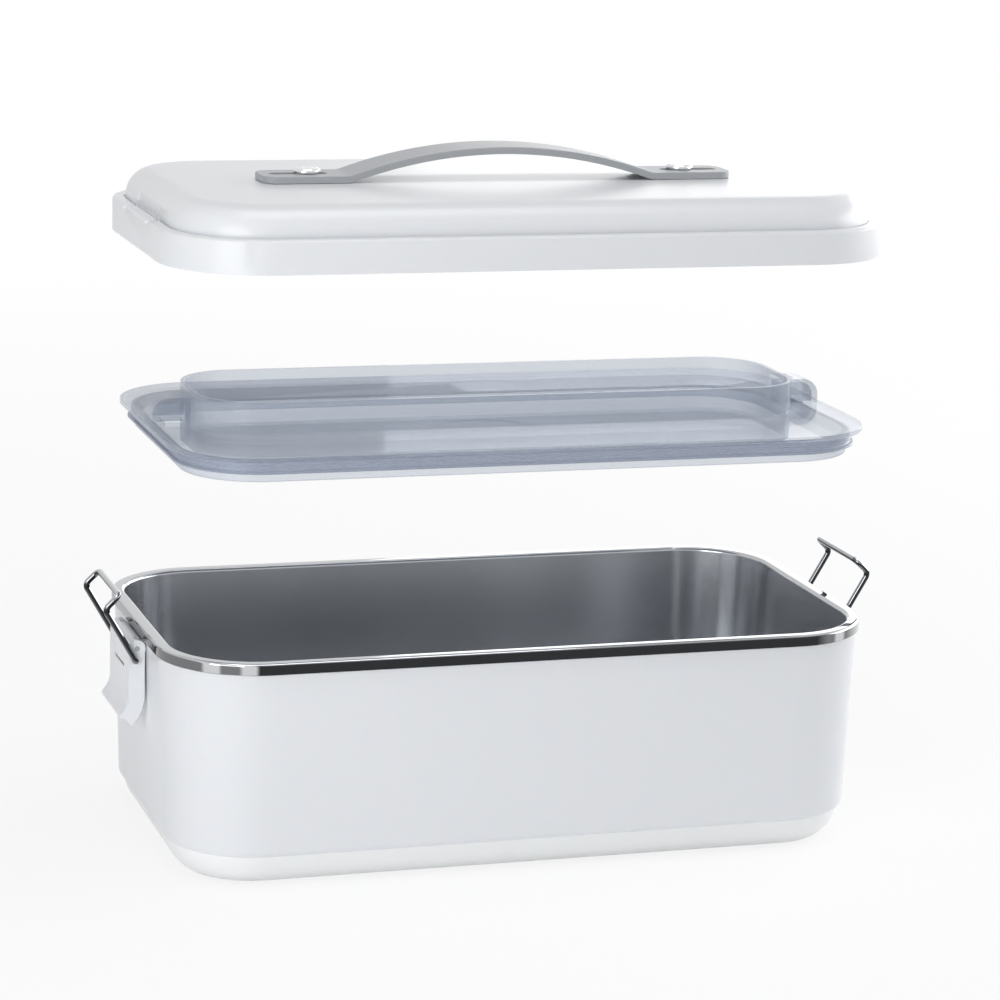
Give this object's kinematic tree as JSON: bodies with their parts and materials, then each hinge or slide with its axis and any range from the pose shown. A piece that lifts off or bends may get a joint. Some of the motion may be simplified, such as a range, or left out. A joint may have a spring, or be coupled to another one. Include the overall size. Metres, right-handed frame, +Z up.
{
  "type": "electric lunch box",
  "caption": "Portable heated lunch box: oblong base with a steel pan, clear tray lid, domed carry lid with a strap, and a wire latch at each end.",
  "frame": {"origin": "centre of the footprint, on the plane the feet stand on", "axes": "+X along the box towards its right-hand latch, +Y from the front to the back with the power socket, +Z up"},
  "size_m": [0.2666, 0.1316, 0.2297],
  "materials": {
    "white_plastic": "satin white moulded polypropylene",
    "strap_plastic": "fine-grained light grey plastic",
    "clear_plastic": "clear moulded plastic with a cool tint",
    "clear_silicone": "translucent silicone rubber",
    "pan_steel": "bright polished stainless steel",
    "wire_steel": "bright stainless wire",
    "screw_steel": "zinc-plated steel",
    "heater_aluminium": "cast and machined aluminium",
    "element_ceramic": "pale ceramic and glazed film",
    "black_plastic": "black moulded plastic",
    "contact_brass": "plated brass",
    "lead_insulation": "silicone-insulated leads",
    "foot_rubber": "grey rubber"
  },
  "bodies": {
    "base": {"outer_shell": "white_plastic", "base_cover": "white_plastic", "foot_front_left": "foot_rubber", "foot_front_right": "foot_rubber", "foot_back_left": "foot_rubber", "foot_back_right": "foot_rubber", "base_screws": "screw_steel", "heater_plate": "heater_aluminium", "heater_screws": "screw_steel", "heating_element": "element_ceramic", "element_clamp": "screw_steel", "thermostat": "black_plastic", "thermal_fuse": "element_ceramic", "power_inlet": "black_plastic", "inlet_pins": "contact_brass", "wiring": "lead_insulation", "latch_pin_left": "screw_steel", "latch_pin_right": "screw_steel"},
    "pan": {"steel_pan": "pan_steel"},
    "inner_lid": {"inner_lid": "clear_plastic", "lid_seal": "clear_silicone"},
    "carry_lid": {"outer_lid": "white_plastic", "stud_left": "screw_steel", "stud_right": "screw_steel", "stud_nuts": "screw_steel"},
    "strap": {"strap": "strap_plastic"},
    "lever_left": {"latch_lever_left": "white_plastic"},
    "lever_right": {"latch_lever_right": "white_plastic"},
    "bail_left": {"latch_bail_left": "wire_steel"},
    "bail_right": {"latch_bail_right": "wire_steel"}
  },
  "joints": [
    {"name": "pan_lift", "type": "slide", "parent": "base", "child": "pan", "axis": [0, 0, 1], "range_m": [0, 0.06]},
    {"name": "inner_lid_lift", "type": "slide", "parent": "pan", "child": "inner_lid", "axis": [0, 0, 1], "range_m": [-0.064, 0]},
    {"name": "carry_lid_lift", "type": "slide", "parent": "inner_lid", "child": "carry_lid", "axis": [0, 0, 1], "range_m": [-0.0585, 0]},
    {"name": "strap_shift", "type": "slide", "parent": "carry_lid", "child": "strap", "axis": [1, 0, 0], "range_m": [-0.0045, 0.0045]},
    {"name": "lever_left_turn", "type": "hinge", "parent": "base", "child": "lever_left", "pos_m": [-0.1219, 0, 0.069], "axis": [0, 1, 0], "range_deg": [0, 50]},
    {"name": "lever_right_turn", "type": "hinge", "parent": "base", "child": "lever_right", "pos_m": [0.1219, 0, 0.069], "axis": [0, -1, 0], "range_deg": [0, 50]},
    {"name": "bail_left_swing", "type": "hinge", "parent": "lever_left", "child": "bail_left", "pos_m": [-0.1225, 0, 0.065], "axis": [0, -1, 0], "range_deg": [-30, 90]},
    {"name": "bail_right_swing", "type": "hinge", "parent": "lever_right", "child": "bail_right", "pos_m": [0.1225, 0, 0.065], "axis": [0, 1, 0], "range_deg": [-30, 90]}
  ]
}
